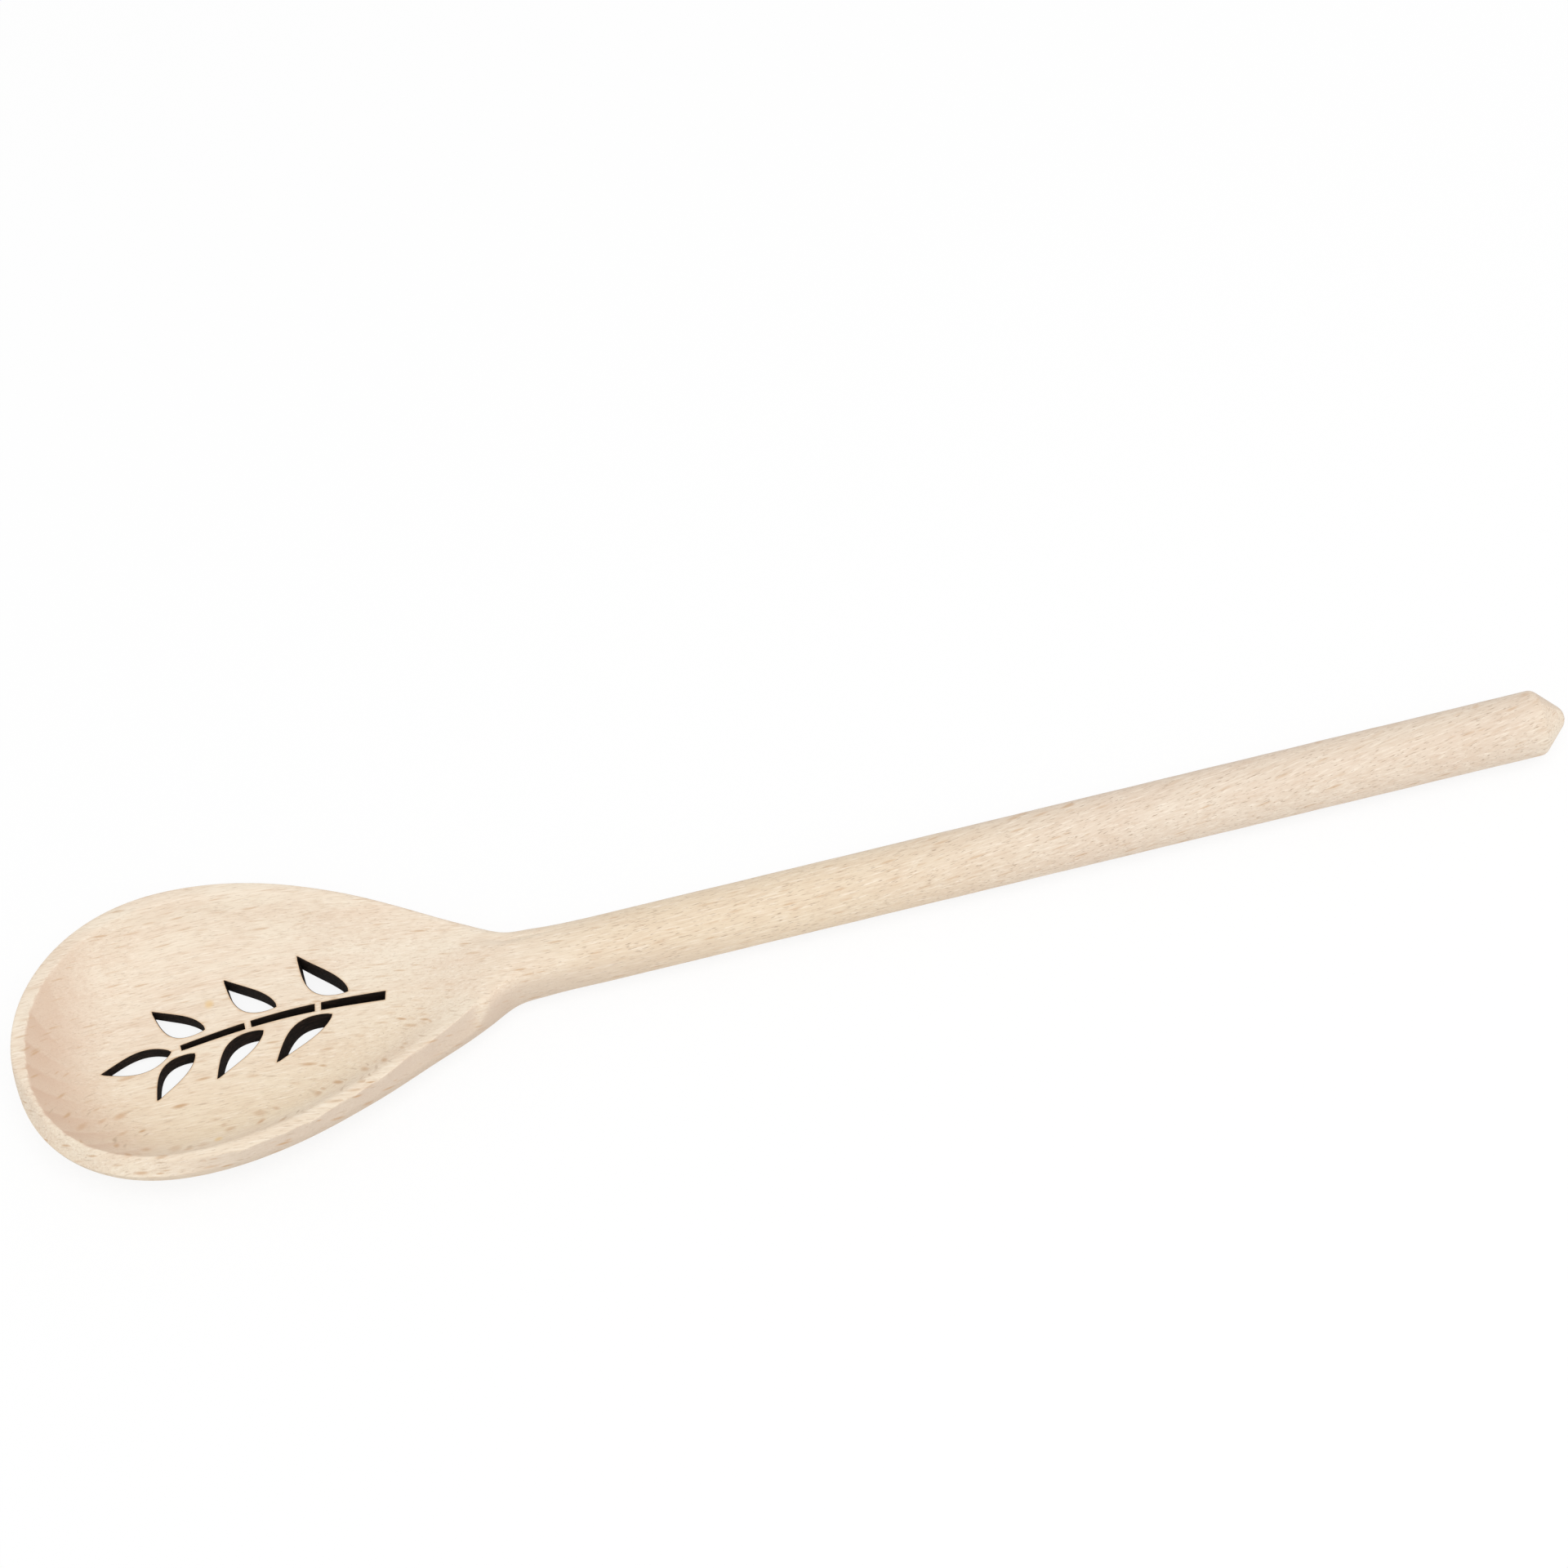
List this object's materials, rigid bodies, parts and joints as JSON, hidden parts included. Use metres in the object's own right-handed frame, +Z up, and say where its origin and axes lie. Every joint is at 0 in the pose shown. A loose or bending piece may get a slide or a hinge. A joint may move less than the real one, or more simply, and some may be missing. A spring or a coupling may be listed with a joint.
{
  "type": "wooden cooking spoon",
  "caption": "Long beech cooking spoon with an egg-shaped, shallow bowl, a leaf sprig cut through its floor, and a straight round handle with a pointed end.",
  "frame": {"origin": "on the ground under the middle of the spoon's box, with the spoon lying on its back", "axes": "+X along the spoon from the bowl's tip to the handle's end, +Y across it, +Z up out of the bowl's hollow"},
  "size_m": [0.3, 0.0618, 0.0126],
  "materials": {
    "beech": "bare, fine-sanded pale beech with short brown ray flecks; the walls of the cuts are charred almost black"
  },
  "bodies": {
    "root": {"bowl": "beech", "handle": "beech"}
  },
  "joints": []
}
